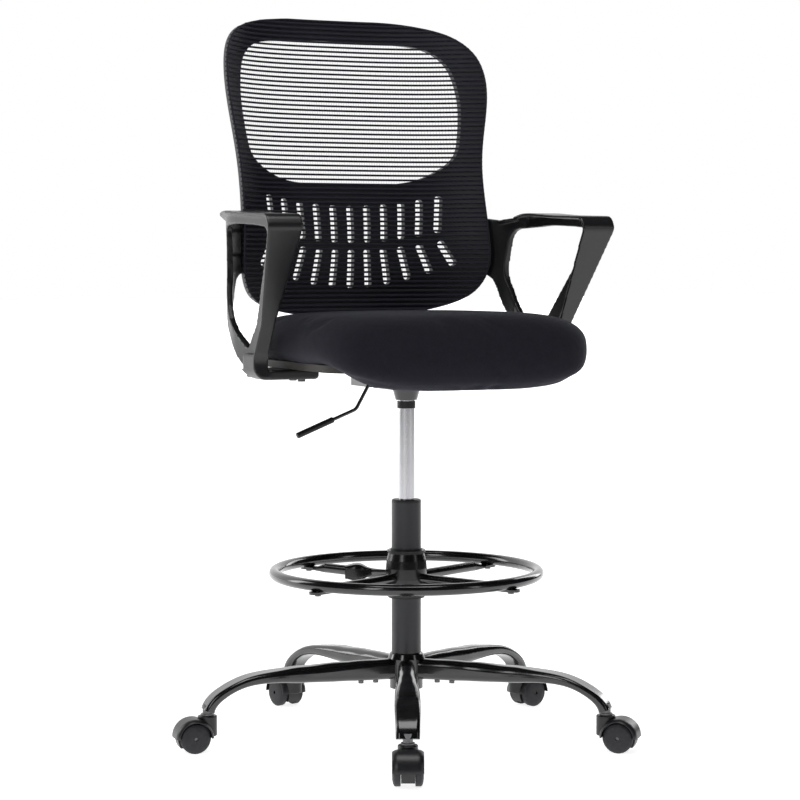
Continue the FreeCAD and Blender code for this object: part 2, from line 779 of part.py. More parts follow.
def wall_plan(height):
    """The arm's outer wall seen from above at a height: straight beside the seat, curling in behind the back."""
    lean = 0.0
    if height < 866.0:
        lean = min(866.0 - height, 156.0) / 6.0
    # for each station the outer and the inner face: distance behind the column and inset from the
    # arm's outermost plane, then the share of the lean they take
    stations = [
        ((-200.0, 12.0), (-200.0, 25.0), 1.0), ((-150.0, 12.0), (-150.0, 25.0), 1.0),
        ((-100.0, 12.0), (-100.0, 25.0), 1.0), ((-50.0, 12.0), (-50.0, 25.0), 1.0),
        ((-5.0, 12.0), (-5.0, 25.0), 1.0), ((34.0, 12.5), (34.0, 25.0), 0.85),
        ((70.0, 17.0), (68.0, 28.0), 0.5), ((104.0, 28.0), (100.0, 38.0), 0.2),
        ((138.0, 42.0), (134.0, 51.0), 0.0), ((166.0, 58.0), (162.0, 70.0), 0.0),
        ((194.0, 88.0), (190.0, 101.0), 0.0),
    ]
    faces = []
    for side in (0, 1):
        points = []
        for station in stations:
            back, inset = station[side]
            points.append(Vector(size("arm_outer") - inset - lean * station[2], back, height))
        curve = Part.BSplineCurve()
        curve.interpolate(points if side == 0 else points[::-1])
        faces.append(curve)
    outside = faces[0].toShape()
    inside = faces[1].toShape()
    rear = Part.makeLine(faces[0].EndPoint, faces[1].StartPoint)
    front = Part.makeLine(faces[1].EndPoint, faces[0].StartPoint)
    return Part.Wire([outside, rear, inside, front])


def arm_shape():
    """The sitter's left arm: a moulded loop, broad and thin, with a deep outer wall."""
    outer = size("arm_outer")
    inner = size("arm_inner")
    low = size("foot_bottom")
    skin = size("arm_skin")
    outline_face = Part.Face(rounded_wire(yz([
        (-30.0, low), (-27.0, 655.0), (-160.0, 867.0), (-148.0, 888.0), (-40.0, 891.0), (60.0, 897.0),
        (150.0, 884.0), (200.0, 892.0), (200.0, 797.0), (162.0, 786.0), (142.0, 724.0), (62.0, 653.0),
        (10.0, low),
    ]), [4.0, 40.0, 12.0, 20.0, 300.0, 300.0, 60.0, 6.0, 10.0, 30.0, 60.0, 100.0, 30.0]))
    window = Part.Face(rounded_wire(yz([
        (26.0, 668.0), (-130.0, 866.0), (-60.0, 871.0), (20.0, 874.0), (128.0, 868.0), (144.0, 790.0),
        (110.0, 722.0),
    ]), [6.0, 12.0, 200.0, 300.0, 24.0, 60.0, 60.0]))
    reach = X_AXIS * (outer + 10.0)
    core = Part.Face(outline_face.OuterWire.makeOffset2D(-skin)).extrude(reach)
    skin_band = outline_face.extrude(reach).cut(core)
    deep_band = outline_face.cut(window).extrude(reach)

    # seen from the front: broad at the top, leaning in and narrowing towards the seat
    lean = [(outer, 910.0), (outer, 866.0), (outer - 26.0, 710.0), (outer - 26.0, low - 5.0)]
    front_view = Part.Face(rounded_wire(xz(
        [(inner - 48.0, 910.0)] + lean + [(inner + 9.0, low - 5.0), (inner + 9.0, 720.0), (inner, 868.0),
                                          (inner - 48.0, 880.0)]), [0.0] * 9))
    front_view.translate(Vector(0, -190.0, 0))
    # seen from above: the broad skin narrows into the wall where the wall curls in
    top_view = Part.Face(rounded_wire(xy([
        (outer + 5, -200.0), (outer + 5, 10.0), (outer - 12.0, 92.0), (266.0, 154.0), (250.0, 148.0),
        (258.0, 100.0), (inner - 1, 60.0), (inner - 1, -200.0),
    ]), [0.0, 40.0, 60.0, 0.0, 0.0, 40.0, 40.0, 0.0])).extrude(Z_AXIS * 1000.0)
    # seen from the side: the skin runs up the front and back along the top only
    side_view = Part.Face(rounded_wire(yz([
        (-200.0, low - 5.0), (-200.0, 930.0), (190.0, 930.0), (190.0, 866.0), (40.0, 866.0),
        (40.0, 700.0), (10.0, low - 5.0),
    ]), [0.0] * 7)).extrude(reach)
    front_part = skin_band.common(front_view.extrude(Y_AXIS * 400.0)).common(top_view).common(side_view)
    wall_solid = Part.makeLoft([wall_plan(height) for height in (600.0, 710.0, 866.0, 940.0)], True, True)
    loop = joined([front_part, deep_band.common(wall_solid)])

    foot_side = rounded_wire(xz([
        (size("foot_inner"), low), (outer - 26.0, low), (outer - 26.0, 660.0), (outer - 40.0, 660.0),
        (outer - 40.0, low + 16.0), (size("foot_inner"), low + 16.0),
    ]), [7.0, 22.0, 0.0, 0.0, 8.0, 7.0])
    foot = Part.Face(foot_side)
    foot.translate(Vector(0, -30.0, 0))
    foot = foot.extrude(Y_AXIS * 112.0)
    above = Part.Face(rounded_wire(yz([
        (24.0, low + 17.0), (90.0, low + 17.0), (90.0, 700.0), (24.0, 700.0),
    ]), [0.0] * 4)).extrude(reach)
    foot = foot.cut(above)
    beside = Part.makeBox(60.0, 400.0, 100.0, Vector(outer - 55.0, -190.0, low - 5.0))
    foot = foot.cut(beside.cut(outline_face.extrude(reach)))
    corner = Part.Face(rounded_wire(xz([
        (outer - 60.0, low - 1.0), (outer + 20.0, low - 1.0), (outer + 20.0, low + 30.0),
        (outer - 26.0, low + 22.0), (outer - 26.0, low), (outer - 60.0, low),
    ]), [0.0, 0.0, 0.0, 0.0, 22.0, 0.0]))
    corner.translate(Vector(0, -190.0, 0))
    return joined([loop.cut(corner.extrude(Y_AXIS * 400.0)), foot])


# ---------------------------------------------------------------- back

def back_line(height):
    """How far behind the column the back's centre line stands at a height."""
    knots = [(700.0, 242.0), (765.0, 238.0), (840.0, 229.0), (920.0, 240.0), (1010.0, 262.0),
             (1100.0, 284.0), (1200.0, 306.0), (1270.0, 324.0)]
    for (low, first), (high, last) in zip(knots, knots[1:]):
        if height <= high:
            share = (height - low) / (high - low)
            return first + (last - first) * share
    return knots[-1][1]


BACK_CURL = 6.35e-6     # the edges curl forward with the cube of the distance from the middle


def back_slab(offset, thickness):
    """A plate that follows the back's curved face, offset behind it."""
    heights = [690.0 + 29.0 * index for index in range(21)]
    grid = []
    for x in range(-280, 281, 40):
        row = []
        for height in heights:
            # the running mean of the centre line keeps the face smooth
            mean = sum(back_line(height + shift) for shift in (-40.0, -20.0, 0.0, 20.0, 40.0)) / 5
            row.append(Vector(x, mean - BACK_CURL * abs(x) ** 3 + offset, height))
        grid.append(row)
    surface = Part.BSplineSurface()
    surface.interpolate(grid)
    return surface.toShape().extrude(Y_AXIS * thickness)


def mirrored_outline(half):
    """A closed smooth outline from its right half, top to bottom, given as (x, z)."""
    right = [Vector(x, 0, z) for x, z in half]
    left = [Vector(-x, 0, z) for x, z in reversed(half) if x > 0]
    return smooth_wire(right + left)


def back_outline():
    return mirrored_outline([
        (0.0, 1242.0), (100.0, 1240.5), (165.5, 1231.5), (212.0, 1212.5), (236.0, 1185.5),
        (247.0, 1149.5), (246.5, 1090.0), (237.5, 1030.0), (232.0, 980.0), (231.5, 920.0), (235.0, 850.0),
        (233.5, 795.0), (216.0, 758.0), (175.0, 734.0), (100.0, 719.0), (0.0, 715.0),
    ])


def window_outline():
    return mirrored_outline([
        (0.0, 1204.0), (70.0, 1203.5), (134.0, 1200.0), (171.0, 1190.0), (195.0, 1168.0), (207.5, 1132.0),
        (211.0, 1085.0), (206.0, 1035.0), (195.0, 997.0), (169.0, 974.0), (134.0, 957.5), (80.0, 949.0),
        (0.0, 948.0),
    ])


def slot_prism(centre_x, low, high, lean):
    """A round-ended upright slot, leaning by some degrees about its middle."""
    width = size("slot_width")
    corners = xz([(-width / 2, low), (width / 2, low), (width / 2, high), (-width / 2, high)])
    prism = Part.Face(rounded_wire(corners, [0.45 * width] * 4)).extrude(Y_AXIS * 300.0)
    prism.rotate(Vector(0, 0, (low + high) / 2), Y_AXIS, lean)
    prism.translate(Vector(centre_x, 60.0, 0))
    return prism


def back_frame_shape():
    """The frame of the back: a large window above a slotted lumbar panel."""
    depth = Y_AXIS * 400.0
    prism = Part.Face(back_outline()).extrude(depth)
    prism = prism.cut(Part.Face(window_outline()).extrude(depth))
    frame = prism.common(back_slab(0.0, size("back_thickness")))
    slots = []
    for column in range(-5, 6):
        share = abs(column) / 5
        side = math.copysign(1, column) if column else 0
        x = column * size("slot_pitch")
        rise = 18.0 * share ** 2
        slots.append(slot_prism(x, 844.0 + rise, 910.0 + rise, 5.0 * share * side))
        foot_rise = 37.0 * share ** 2
        top_rise = 18.0 * share ** 2
        splay = 29.0 * share ** 1.2
        shift = side * 12.0 * share ** 2
        slots.append(slot_prism(x + shift, 764.0 + foot_rise, 832.0 + top_rise, -splay * side))
    return frame.cut(Part.makeCompound(slots))


def make_arms_and_back():
    frame = back_frame_shape()
    gap = size("back_mesh_gap")
    thick = size("back_mesh_thickness")
    mesh = Part.Face(back_outline()).extrude(Y_AXIS * 400.0).common(back_slab(-gap - thick, thick))
    arm = arm_shape().cut(frame).cut(back_slab(-20.0, 20.0))
    bolts = []
    for side in (-1, 1):
        axis = Vector(-side, -1.0, 0).normalize()
        for z in (822.0, 864.0):
            face = Vector(side * 226.0, 182.0, z)
            bolts.append(bolt(face - axis * 9.0, axis, 12.0, 5.5, 5.0))
    hardware = Part.makeCompound(bolts)
    feature("back_bolts", hardware)
    drilled = arm.cut(hardware).cut(NODES["arm_bolts"].Shape)
    feature("arm_left", drilled)
    feature("arm_right", drilled.mirror(Vector(), X_AXIS))
    feature("back_frame", frame.cut(hardware))
    feature("back_mesh", mesh)


make_base()
make_casters()
make_column()
make_foot_ring()
make_seat()
make_lever()
make_arms_and_back()
doc.recompute()

for item in doc.Objects:
    if "Invalid" in item.State or "Error" in item.State:
        raise RuntimeError(f"{item.Label} failed: {item.State}")
for label, item in NODES.items():
    if item.Shape.isNull() or not item.Shape.isValid():
        raise RuntimeError(f"{label} has no valid shape")
    if not item.Shape.Solids:
        raise RuntimeError(f"{label} has no solid")

os.makedirs("parts", exist_ok=True)
for label, item in NODES.items():
    item.Shape.exportStep(f"parts/{label}.step")
box = Part.makeCompound([item.Shape for item in NODES.values()]).BoundBox
print(f"{len(NODES)} nodes, {box.XLength:.1f} x {box.YLength:.1f} x {box.ZLength:.1f} mm")
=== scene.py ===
"""Looks of the drafting chair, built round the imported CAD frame.

Metres; the floor is z = 0, the gas lift's axis is x = y = 0, and the sitter faces -y.
"""

import json
import math

import bmesh
import bpy
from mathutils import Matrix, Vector


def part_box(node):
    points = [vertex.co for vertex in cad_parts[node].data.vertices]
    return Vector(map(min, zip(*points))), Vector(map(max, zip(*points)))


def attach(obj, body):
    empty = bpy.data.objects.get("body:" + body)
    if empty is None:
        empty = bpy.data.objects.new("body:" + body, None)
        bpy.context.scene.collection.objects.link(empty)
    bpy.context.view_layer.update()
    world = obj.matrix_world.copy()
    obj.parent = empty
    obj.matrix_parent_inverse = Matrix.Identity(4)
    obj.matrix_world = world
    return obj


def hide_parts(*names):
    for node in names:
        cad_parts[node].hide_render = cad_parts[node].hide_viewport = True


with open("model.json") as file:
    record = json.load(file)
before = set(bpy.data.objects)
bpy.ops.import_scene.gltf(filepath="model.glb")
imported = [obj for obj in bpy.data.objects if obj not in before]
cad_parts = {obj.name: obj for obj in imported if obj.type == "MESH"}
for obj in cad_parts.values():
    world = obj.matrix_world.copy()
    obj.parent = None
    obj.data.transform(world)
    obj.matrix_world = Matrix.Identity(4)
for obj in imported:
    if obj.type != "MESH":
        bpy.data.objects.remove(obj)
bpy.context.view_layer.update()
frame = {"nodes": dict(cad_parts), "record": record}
NODES = frame["nodes"]
RECORD = frame["record"]


# ------------------------------------------------------------ node helpers

class Graph:
    """Short calls for building one material's node tree."""

    def __init__(self, name):
        self.material = bpy.data.materials.new(name)
        self.material.use_nodes = True
        self.tree = self.material.node_tree
        self.shader = self.tree.nodes["Principled BSDF"]
        coordinates = self.tree.nodes.new("ShaderNodeTexCoord")
        self.place = coordinates.outputs["Object"]

    def link(self, source, socket):
        self.tree.links.new(source, socket)

    def stretched(self, scale):
        """The object's coordinates, stretched by a scale on each axis."""
        node = self.tree.nodes.new("ShaderNodeMapping")
        node.inputs["Scale"].default_value = scale
        self.link(self.place, node.inputs["Vector"])
        return node.outputs["Vector"]

    def noise(self, scale, detail=4.0, rough=0.55, vector=None):
        node = self.tree.nodes.new("ShaderNodeTexNoise")
        node.inputs["Scale"].default_value = scale
        node.inputs["Detail"].default_value = detail
        node.inputs["Roughness"].default_value = rough
        self.link(vector or self.place, node.inputs["Vector"])
        return node.outputs["Fac"]

    def wave(self, axis, pitch):
        """Even ridges across one axis, one every pitch metres."""
        node = self.tree.nodes.new("ShaderNodeTexWave")
        node.wave_type = "BANDS"
        node.bands_direction = axis
        node.wave_profile = "SIN"
        node.inputs["Scale"].default_value = 0.314159 / pitch
        node.inputs["Distortion"].default_value = 0.0
        self.link(self.place, node.inputs["Vector"])
        return node.outputs["Fac"]

    def math(self, operation, first, second):
        node = self.tree.nodes.new("ShaderNodeMath")
        node.operation = operation
        for index, value in enumerate((first, second)):
            if isinstance(value, (int, float)):
                node.inputs[index].default_value = value
            else:
                self.link(value, node.inputs[index])
        return node.outputs[0]

    def ramp(self, source, low, high, dark, light):
        """Colours from dark to light as source goes from low to high."""
        node = self.tree.nodes.new("ShaderNodeValToRGB")
        node.color_ramp.elements[0].position = low
        node.color_ramp.elements[1].position = high
        node.color_ramp.elements[0].color = (*dark, 1.0)
        node.color_ramp.elements[1].color = (*light, 1.0)
        self.link(source, node.inputs["Fac"])
        return node.outputs["Color"]

    def span(self, source, low, high):
        """source, taken from 0..1 to low..high."""
        node = self.tree.nodes.new("ShaderNodeMapRange")
        node.inputs["To Min"].default_value = low
        node.inputs["To Max"].default_value = high
        self.link(source, node.inputs["Value"])
        return node.outputs["Result"]

    def bump(self, height, distance, strength=1.0, under=None):
        node = self.tree.nodes.new("ShaderNodeBump")
        node.inputs["Distance"].default_value = distance
        node.inputs["Strength"].default_value = strength
        self.link(height, node.inputs["Height"])
        if under is not None:
            self.link(under, node.inputs["Normal"])
        return node.outputs["Normal"]

    def colour(self, source):
        self.link(source, self.shader.inputs["Base Color"])

    def roughness(self, source):
        self.link(source, self.shader.inputs["Roughness"])

    def normal(self, source):
        self.link(source, self.shader.inputs["Normal"])

    def set(self, **values):
        for name, value in values.items():
            self.shader.inputs[name.replace("_", " ")].default_value = value


def tinted(colour, share):
    return tuple(channel * share for channel in colour)


def moulded_plastic(name, colour, rough, grain=0.00006, level=0.4):
    """Black moulded plastic: fine spark texture, faint flow marks, handling shine."""
    g = Graph(name)
    flow = g.noise(9.0, 3.0)
    fine = g.noise(2600.0, 2.0)
    g.colour(g.ramp(flow, 0.3, 0.75, tinted(colour, 0.85), tinted(colour, 1.2)))
    g.roughness(g.span(g.noise(24.0, 5.0), rough - 0.07, rough + 0.08))
    g.normal(g.bump(fine, grain, 0.7))
    g.set(Specular_IOR_Level=level)
    return g.material


def gloss_paint(name, colour, rough):
    """Powder coat under a clear gloss: slight orange peel, a little dust."""
    g = Graph(name)
    dust = g.noise(38.0, 6.0, 0.6)
    g.colour(g.ramp(dust, 0.45, 0.85, colour, tinted(colour, 1.7)))
    g.roughness(g.span(dust, rough, rough + 0.1))
    g.normal(g.bump(g.noise(420.0, 2.0), 0.00009, 0.6))
    g.set(Specular_IOR_Level=0.55, Coat_Weight=0.5, Coat_Roughness=0.08)
    return g.material


def bare_metal(name, colour, rough, grain_axis):
    """Turned or drawn metal with fine lines along one axis."""
    g = Graph(name)
    lines = g.noise(1.0, 3.0, 0.6, g.stretched(grain_axis))
    smudge = g.noise(16.0, 4.0)
    g.colour(g.ramp(smudge, 0.3, 0.8, tinted(colour, 0.88), colour))
    g.roughness(g.span(lines, rough * 0.75, rough * 1.35))
    g.normal(g.bump(lines, 0.00002, 0.5))
    g.set(Metallic=1.0)
    return g.material


def woven_cloth(name, colour, depth):
    """A close weave: short thread marks along both directions, fuzz, and slightly uneven dye."""
    g = Graph(name)
    warp = g.noise(1.0, 3.0, 0.6, g.stretched((380.0, 1500.0, 1500.0)))
    weft = g.noise(1.0, 3.0, 0.6, g.stretched((1500.0, 380.0, 380.0)))
    threads = g.math("MAXIMUM", warp, weft)
    fuzz = g.noise(1100.0, 4.0, 0.7)
    slub = g.noise(60.0, 5.0, 0.65)
    mixed = g.math("MULTIPLY", threads, g.span(slub, 0.75, 1.25))
    g.colour(g.ramp(mixed, 0.3, 0.8, tinted(colour, 0.6), tinted(colour, 1.35)))
    g.roughness(g.span(fuzz, 0.78, 0.98))
    weave = g.bump(mixed, depth, 0.8)
    g.normal(g.bump(fuzz, depth * 0.5, 0.5, weave))
    g.set(Specular_IOR_Level=0.14, Sheen_Weight=0.09, Sheen_Roughness=0.4)
    g.shader.inputs["Sheen Tint"].default_value = (0.75, 0.78, 0.9, 1.0)
    return g.material


def knitted_cord(name, colour):
    """The thick yarn of the back's mesh: twisted filaments."""
    g = Graph(name)
    twist = g.wave("DIAGONAL", 0.0011)
    fuzz = g.noise(1500.0, 4.0, 0.7)
    both = g.math("MULTIPLY", twist, g.span(fuzz, 0.7, 1.2))
    g.colour(g.ramp(both, 0.1, 0.95, tinted(colour, 0.6), tinted(colour, 1.5)))
    g.roughness(g.span(fuzz, 0.6, 0.85))
    g.normal(g.bump(both, 0.00012, 0.7))
    g.set(Specular_IOR_Level=0.22, Sheen_Weight=0.12, Sheen_Roughness=0.35)
    g.shader.inputs["Sheen Tint"].default_value = (0.7, 0.72, 0.9, 1.0)
    return g.material


def layered_wood(name):
    """Moulded plywood: long grain with darker rays."""
    g = Graph(name)
    grain = g.noise(1.0, 6.0, 0.6, g.stretched((14.0, 160.0, 400.0)))
    g.colour(g.ramp(grain, 0.25, 0.8, (0.012, 0.010, 0.009), (0.04, 0.034, 0.028)))
    g.roughness(g.span(grain, 0.5, 0.75))
    g.normal(g.bump(grain, 0.0001, 0.5))
    return g.material


def rolling_nylon(name, colour):
    """A caster's wheel: grey nylon, scuffed and dusty where it rolls."""
    g = Graph(name)
    scuff = g.noise(130.0, 8.0, 0.7)
    g.colour(g.ramp(scuff, 0.42, 0.8, colour, tinted(colour, 2.0)))
    g.roughness(g.span(scuff, 0.4, 0.7))
    g.normal(g.bump(scuff, 0.00008, 0.5))
    g.set(Specular_IOR_Level=0.4)
    return g.material


FINISHES = {
    "gloss_black": gloss_paint("gloss_black", (0.0065, 0.0065, 0.0075), 0.13),
    "ring_plastic": moulded_plastic("ring_plastic", (0.008, 0.008, 0.009), 0.24, 0.00003, 0.5),
    "screw_steel": bare_metal("screw_steel", (0.16, 0.16, 0.165), 0.34, (300.0, 300.0, 900.0)),
    "column_paint": moulded_plastic("column_paint", (0.02, 0.0205, 0.026), 0.36, 0.00004, 0.5),
    "black_plastic": moulded_plastic("black_plastic", (0.008, 0.008, 0.009), 0.42),
    "chrome": bare_metal("chrome", (0.74, 0.74, 0.77), 0.2, (1500.0, 1500.0, 6.0)),
    "rod_steel": gloss_paint("rod_steel", (0.012, 0.012, 0.013), 0.2),
    "caster_hood": moulded_plastic("caster_hood", (0.0125, 0.0125, 0.015), 0.34, 0.00005, 0.5),
    "caster_tread": rolling_nylon("caster_tread", (0.018, 0.018, 0.021)),
    "plywood": layered_wood("plywood"),
    "seat_fabric": woven_cloth("seat_fabric", (0.0135, 0.013, 0.0195), 0.0003),
    "arm_nylon": moulded_plastic("arm_nylon", (0.0105, 0.0105, 0.012), 0.3, 0.00005, 0.5),
    "frame_nylon": moulded_plastic("frame_nylon", (0.0095, 0.0092, 0.014), 0.45),
    "back_fabric": knitted_cord("back_fabric", (0.0175, 0.0165, 0.0255)),
}

SLOT_OF = {part["node"]: part["material_slot"] for part in RECORD["subparts"]}
for node_name, node_object in NODES.items():
    node_object.data.materials.clear()
    node_object.data.materials.append(FINISHES[SLOT_OF[node_name]])


# ------------------------------------------------------------ mesh helpers

def mesh_object(name, points, faces, finish):
    """A smooth-shaded object from points and faces."""
    mesh = bpy.data.meshes.new(name)
    mesh.from_pydata([tuple(point) for point in points], [], faces)
    mesh.validate()
    obj = bpy.data.objects.new(name, mesh)
    bpy.context.scene.collection.objects.link(obj)
    mesh.materials.append(FINISHES[finish])
    mesh.polygons.foreach_set("use_smooth", [True] * len(mesh.polygons))
    return obj


def copy_of(node, name, finish):
    """A free copy of a CAD node's mesh."""
    mesh = NODES[node].data.copy()
    mesh.name = name
    obj = bpy.data.objects.new(name, mesh)
    bpy.context.scene.collection.objects.link(obj)
    mesh.materials.clear()
    mesh.materials.append(FINISHES[finish])
    return obj


def mesh_edges(node):
    """The two ends of every edge of a CAD node's mesh."""
    mesh = NODES[node].data
    places = [vertex.co for vertex in mesh.vertices]
    return [(places[first], places[second]) for first, second in (edge.vertices for edge in mesh.edges)]


def crossings(edges, axis, level):
    """The points where edges cross the plane on which an axis (0, 1 or 2) has a level."""
    points = []
    for first, second in edges:
        if (first[axis] - level) * (second[axis] - level) > 0 or first[axis] == second[axis]:
            continue
        points.append(first.lerp(second, (level - first[axis]) / (second[axis] - first[axis])))
    return points


def apply_modifiers(obj):
    """Makes what the modifiers show the object's own mesh."""
    graph = bpy.context.evaluated_depsgraph_get()
    mesh = bpy.data.meshes.new_from_object(obj.evaluated_get(graph), depsgraph=graph)
    old = obj.data
    obj.modifiers.clear()
    obj.data = mesh
    bpy.data.meshes.remove(old)


def remeshed(obj, voxel, rounds):
    """Even quads over the whole shape, with every edge softened."""
    remesh = obj.modifiers.new("remesh", "REMESH")
    remesh.mode = "VOXEL"
    remesh.voxel_size = voxel
    remesh.use_smooth_shade = True
    soften = obj.modifiers.new("soften", "SMOOTH")
    soften.factor = 0.5
    soften.iterations = rounds
    apply_modifiers(obj)
    obj.data.polygons.foreach_set("use_smooth", [True] * len(obj.data.polygons))


def dress(obj, body, slot, *nodes):
    """Hands a finished piece to its CAD body and hides the nodes it stands for; slot is not used."""
    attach(obj, body)
    if nodes:
        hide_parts(*nodes)
    return obj


# ------------------------------------------------------------ arms

ARM_VOXEL = 0.0017
ARM_SOFTENING = 4                       # rounds of smoothing
BRACE_PLACES = (0.074, 0.100, 0.118)    # y of the sections of the bar in the arm's rear brace
BRACE_HEIGHTS = (0.64, 0.76)            # z of the brace there: over the foot plate, under the arm's top
BRACE_HALF_THICKNESS = 0.0052


def thicken_brace(obj, node, sign):
    """Adds a closed bar inside the arm's rear brace, so that the brace stays whole when it is softened."""
    edges = mesh_edges(node)
    added = bmesh.new()
    added.from_mesh(obj.data)
    rings = []
    for y in BRACE_PLACES:
        cut = [point for point in crossings(edges, 1, y) if BRACE_HEIGHTS[0] < point.z < BRACE_HEIGHTS[1]]
        low = min(point.z for point in cut)
        high = max(point.z for point in cut)
        middle = (min(abs(point.x) for point in cut) + max(abs(point.x) for point in cut)) / 2
        inner = sign * (middle - BRACE_HALF_THICKNESS)
        outer = sign * (middle + BRACE_HALF_THICKNESS)
        corners = [(inner, y, low), (outer, y, low), (outer, y, high), (inner, y, high)]
        rings.append([added.verts.new(corner) for corner in corners])
    for near, far in zip(rings, rings[1:]):
        for index in range(4):
            after = (index + 1) % 4
            added.faces.new((near[index], near[after], far[after], far[index]))
    added.faces.new(rings[0][::-1])
    added.faces.new(rings[-1])
    added.to_mesh(obj.data)
    added.free()


for side, sign in (("left", 1), ("right", -1)):
    arm = copy_of(f"arm_{side}", f"arm_{side}_moulding", "arm_nylon")
    thicken_brace(arm, f"arm_{side}", sign)
    remeshed(arm, ARM_VOXEL, ARM_SOFTENING)
    dress(arm, "seat", "arm_nylon", f"arm_{side}")


# ------------------------------------------------------------ seat

CUSHION_VOXEL = 0.006
CUSHION_SOFTENING = 2     # rounds of smoothing
CUSHION_START = 0.985     # size of the pad before it is blown up, as a share of the cushion
CUSHION_GROWTH = 0.006    # the most the cloth may move
CUSHION_PRESSURE = 4.0
CLOTH_FRAMES = 20


def make_cushion():
    """The foam pad in its cover, blown up a little by cloth simulation."""
    pad = copy_of("seat_cushion", "seat_pad", "seat_fabric")
    low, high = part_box("seat_cushion")
    middle = (low + high) / 2
    remeshed(pad, CUSHION_VOXEL, CUSHION_SOFTENING)
    for vertex in pad.data.vertices:
        vertex.co = middle + (vertex.co - middle) * CUSHION_START
    before = [vertex.co.copy() for vertex in pad.data.vertices]
    cloth = pad.modifiers.new("cloth", "CLOTH")
    cloth.settings.use_pressure = True
    cloth.settings.uniform_pressure_force = CUSHION_PRESSURE
    cloth.settings.effector_weights.gravity = 0.0
    cloth.settings.quality = 5
    for number in range(1, CLOTH_FRAMES + 1):
        bpy.context.scene.frame_set(number)
    graph = bpy.context.evaluated_depsgraph_get()
    blown = [vertex.co.copy() for vertex in pad.evaluated_get(graph).data.vertices]
    pad.modifiers.clear()
    bpy.context.scene.frame_set(1)
    for vertex, old, new in zip(pad.data.vertices, before, blown):
        move = new - old
        if move.length > CUSHION_GROWTH:
            move = move.normalized() * CUSHION_GROWTH
        vertex.co = old + move
        vertex.co.z = max(vertex.co.z, low.z)
    return pad


cushion = make_cushion()
finer = cushion.modifiers.new("finer", "SUBSURF")
finer.levels = 1
finer.render_levels = 1
apply_modifiers(cushion)
cushion.data.polygons.foreach_set("use_smooth", [True] * len(cushion.data.polygons))
dress(cushion, "seat", "seat_fabric", "seat_cushion")


# ------------------------------------------------------------ back mesh

RIB_PITCH = 0.0082
RIB_FIRST = 0.0035       # of the lowest rib over the sheet's lowest point
RIB_MARGIN = 0.006       # height that holds no rib, at the bottom and top together
RIB_HALF_HEIGHT = 0.00185
RIB_HALF_DEPTH = 0.0012
RIB_POINTS = 61          # along one rib
RIB_INSET = 0.0012       # from the sheet's edge to the rib's turn
RIB_TURN = Vector((0.0012, 0.003, 0))     # from a rib's end to where it turns round the frame's edge
RIB_TUCK = Vector((-0.002, 0.006, 0))     # and from there to its hidden end
SHORTEST_RIB = 0.02      # half the width of the sheet that a rib needs
LIFT = 0.0002            # ribs stand before the sheet's face, and the threads behind it
HEM_RADIUS = 0.0017      # of the binding round the sheet
HEM_STEPS = 120          # up each side
HEM_CROSS_STEPS = 12     # from the middle to each side, at the bottom and top
THREAD_PITCH = 0.0048
THREAD_RADIUS = 0.00015
THREAD_INSET = 0.004     # from the sheet's edge to the nearest thread
RAY_START = -0.3         # y in front of the back


def half_width(node):
    """A function that gives the widest |x| of a node's mesh at a height."""
    edges = mesh_edges(node)

    def at(height):
        return max((abs(point.x) for point in crossings(edges, 2, height)), default=0.0)
    return at


def front_face(node):
    """A function that gives the y of the front of a node's mesh at a place, by a ray from the front."""
    obj = NODES[node]

    def at(x, z):
        hit, place, _, _ = obj.ray_cast(Vector((x, RAY_START, z)), Vector((0, 1, 0)))
        return place.y if hit else None
    return at


def tube(path, half_high, half_deep, count, points, faces, upright):
    """Adds an elliptical tube along a path; upright is the direction of its taller half."""
    start = len(points)
    total = len(path)
    for index, place in enumerate(path):
        after = path[min(index + 1, total - 1)]
        before = path[max(index - 1, 0)]
        forward = (after - before).normalized()
        across = forward.cross(upright).normalized()
        for turn in range(count):
            angle = 2 * math.pi * turn / count
            high = upright * (half_high * math.sin(angle))
            deep = across * (half_deep * math.cos(angle))
            points.append(place + high + deep)
    for index in range(total - 1):
        for turn in range(count):
            after = (turn + 1) % count
            row = start + index * count
            faces.append((row + turn, row + after, row + count + after, row + count + turn))
    faces.append(tuple(start + turn for turn in range(count))[::-1])
    last = start + (total - 1) * count
    faces.append(tuple(last + turn for turn in range(count)))


def hem_line(low, high, width_at, face_at):
    """The binding's line, once round the sheet just inside its edge, from the bottom's middle."""
    middle = (low.z + high.z) / 2
    reach = (high.z - low.z) / 2 - HEM_RADIUS
    side = []
    for step in range(HEM_STEPS + 1):
        height = middle + reach * math.sin(math.pi * (step / HEM_STEPS - 0.5))
        side.append((width_at(height) - HEM_RADIUS, height))
    foot, top = side[0], side[-1]
    across = [step / HEM_CROSS_STEPS for step in range(HEM_CROSS_STEPS)]
    right = [(foot[0] * share, foot[1]) for share in across] + side
    right += [(top[0] * share, top[1]) for share in reversed(across)]
    ring = right + [(-x, height) for x, height in reversed(right[:-1])]
    places = [(x, face_at(x, height), height) for x, height in ring]
    return [Vector(place) for place in places if place[1] is not None]


def rib_line(height, half, face_at):
    """One rib's line along the front of the sheet, from edge to edge, with both ends tucked behind."""
    line = []
    for column in range(RIB_POINTS):
        share = math.sin(math.pi * (column / (RIB_POINTS - 1) - 0.5))
        x = (half - RIB_INSET) * share
        y = face_at(x, height)
        if y is None:
            y = face_at(x * 0.985, height)
        if y is not None:
            line.append(Vector((x, y - LIFT, height)))
    if len(line) < 10:
        return None
    mirror = Vector((-1, 1, 1))
    left = line[0] + RIB_TURN * mirror
    right = line[-1] + RIB_TURN
    return [left + RIB_TUCK * mirror, left, *line, right, right + RIB_TUCK]


